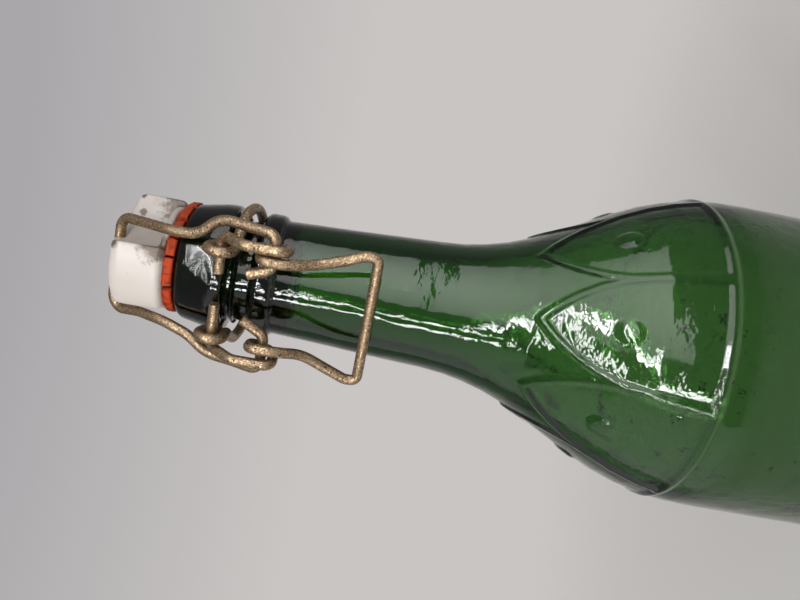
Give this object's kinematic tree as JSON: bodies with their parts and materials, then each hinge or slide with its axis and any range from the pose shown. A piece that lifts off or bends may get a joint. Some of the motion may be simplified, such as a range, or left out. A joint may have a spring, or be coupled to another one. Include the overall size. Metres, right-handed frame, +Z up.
{
  "type": "swing top bottle",
  "caption": "Swing top bottle with a porcelain stopper held by a wire bail and lever that toggles it open and shut.",
  "frame": {"origin": "centre of the base, on the surface the bottle stands on", "axes": "+Z up along the bottle's axis; the closure's lever hangs on the -Y side; +X to the right of someone facing the lever"},
  "size_m": [0.072, 0.072, 0.2783],
  "materials": {
    "glass": "polished green bottle glass, slightly wavy",
    "porcelain": "white glazed porcelain with brown age stains",
    "gasket": "perished orange-red rubber",
    "ring_wire": "aged steel wire, worn and spotted",
    "lever_wire": "aged steel wire, worn and spotted",
    "bail_wire": "aged steel wire, worn and spotted"
  },
  "bodies": {
    "bottle_body": {"bottle": "glass"},
    "ring_body": {"neck_ring": "ring_wire"},
    "lever_body": {"lever": "lever_wire"},
    "bail_body": {"bail": "bail_wire"},
    "stopper_body": {"stopper": "porcelain", "gasket": "gasket"}
  },
  "joints": [
    {"name": "closure_turn", "type": "hinge", "parent": "bottle_body", "child": "ring_body", "pos_m": [0, 0, 0.2471], "axis": [0, 0, 1], "continuous": true},
    {"name": "lever_swing", "type": "hinge", "parent": "ring_body", "child": "lever_body", "pos_m": [0, -0.0158, 0.2518], "axis": [-1, 0, 0], "range_deg": [0, 170]},
    {"name": "bail_swing", "type": "hinge", "parent": "lever_body", "child": "bail_body", "pos_m": [0, -0.0183, 0.2405], "axis": [-1, 0, 0], "range_deg": [-139.4, 0]},
    {"name": "stopper_tilt", "type": "hinge", "parent": "bail_body", "child": "stopper_body", "pos_m": [0, -0.003, 0.27685], "axis": [-1, 0, 0], "range_deg": [-35.7, 0]}
  ],
  "couplings": [
    {"joint": "bail_swing", "follows": "lever_swing", "ratio": -0.82},
    {"joint": "stopper_tilt", "follows": "lever_swing", "ratio": -0.21}
  ]
}
